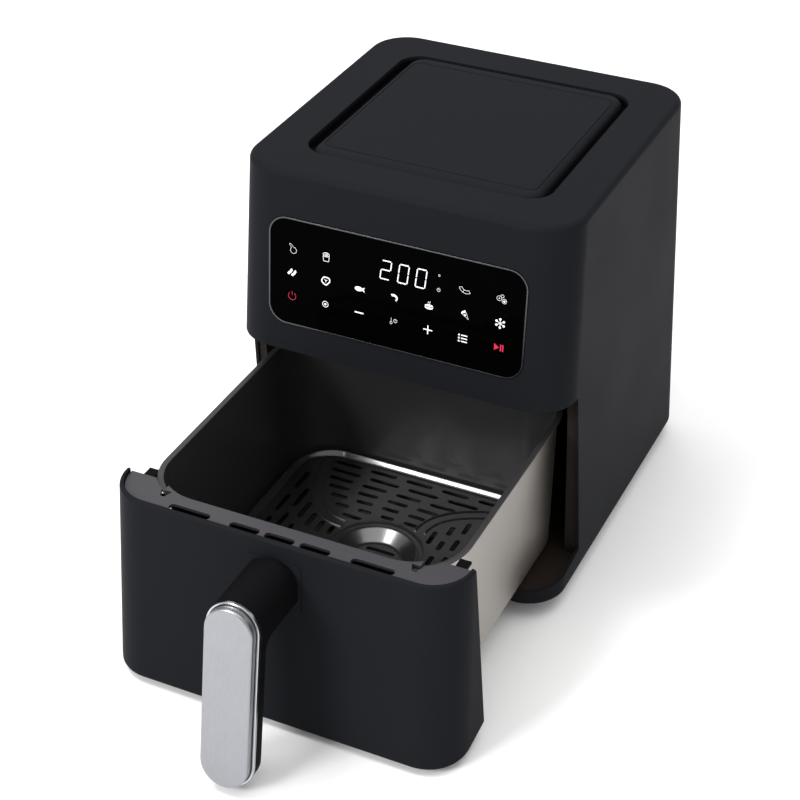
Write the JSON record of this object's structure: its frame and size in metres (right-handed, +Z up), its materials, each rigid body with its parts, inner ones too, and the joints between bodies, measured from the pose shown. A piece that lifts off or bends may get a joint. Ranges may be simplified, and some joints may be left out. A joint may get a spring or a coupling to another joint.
{
  "type": "air fryer",
  "caption": "Box-shaped hot-air fryer with a pull-out basket drawer and upright bar handle, slotted crisping plate, slanted black touch window and raised lid panel.",
  "frame": {"origin": "on the table, midway between the front of the handle and the rear wall with the drawer part open, on the middle plane", "axes": "+Z up, +X to the right as seen by someone facing the controls, the drawer opens towards -Y"},
  "size_m": [0.2682, 0.5494, 0.3142],
  "materials": {
    "shell": "soft-touch dark blue-grey, fine grain",
    "black_plastic": "fine-grained black",
    "liner": "dark warm grey, satin",
    "trim": "satin purple-grey",
    "glass": "polished black window",
    "nonstick": "dark non-stick coat inside, warm grey satin steel outside",
    "plate_coat": "dark non-stick coat",
    "steel": "satin",
    "silver": "fine brushed, clear anodised",
    "rubber": "matt black",
    "board": "solder-masked laminate",
    "copper": "varnished winding and laminations"
  },
  "bodies": {
    "housing": {"outer_shell": "shell", "top_tray": "black_plastic", "top_panel": "shell", "control_bezel": "silver", "control_glass": "glass", "panel_carrier": "black_plastic", "display_board": "board", "power_board": "board", "rear_cover": "black_plastic", "exhaust_duct": "steel", "cord_gland": "rubber", "base_tray": "black_plastic", "bay_liner": "liner", "rail_left": "liner", "rail_right": "liner", "chamber_deck": "steel", "heater_dome": "steel", "heat_shield": "steel", "heating_element": "steel", "wire_guard": "steel", "temperature_sensor": "steel", "thermal_fuse": "steel", "motor_bracket": "steel", "motor_stator": "copper", "interlock_switch": "black_plastic", "foot_1": "rubber", "foot_2": "rubber", "foot_3": "rubber", "foot_4": "rubber", "base_screw_1": "steel", "base_screw_2": "steel", "base_screw_3": "steel", "base_screw_4": "steel", "rear_screw_1": "steel", "rear_screw_2": "steel", "rear_screw_3": "steel", "rear_screw_4": "steel"},
    "drawer": {"drawer_front": "shell", "drawer_trim": "trim", "drawer_back_plate": "black_plastic", "basket": "nonstick", "basket_bracket_left": "black_plastic", "basket_bracket_right": "black_plastic", "basket_clip_left": "steel", "basket_clip_right": "steel", "handle_escutcheon": "black_plastic", "handle_body": "black_plastic", "handle_rim": "silver", "handle_cover": "silver", "handle_screw_1": "steel", "handle_screw_2": "steel"},
    "crisper": {"crisper_plate": "plate_coat", "plate_bumper_1": "rubber", "plate_bumper_2": "rubber", "plate_bumper_3": "rubber", "plate_bumper_4": "rubber"},
    "fan_rotor": {"rotor_shaft": "steel", "convection_fan": "steel", "cooling_fan": "black_plastic"},
    "switch_plunger": {"interlock_plunger": "black_plastic"}
  },
  "joints": [
    {"name": "drawer_slide", "type": "slide", "parent": "housing", "child": "drawer", "axis": [0, -0.993, -0.1179], "range_m": [-0.178, 0.01]},
    {"name": "crisper_lift", "type": "slide", "parent": "drawer", "child": "crisper", "axis": [0, 0, 1], "range_m": [0, 0.105]},
    {"name": "fan_spin", "type": "hinge", "parent": "housing", "child": "fan_rotor", "pos_m": [0, 0.121, 0.23], "axis": [0, 0, 1], "continuous": true},
    {"name": "interlock_press", "type": "slide", "parent": "housing", "child": "switch_plunger", "axis": [0, 0, 1], "range_m": [0, 0.0015], "stiffness_N_per_m": 60, "springref_m": -0.001}
  ]
}
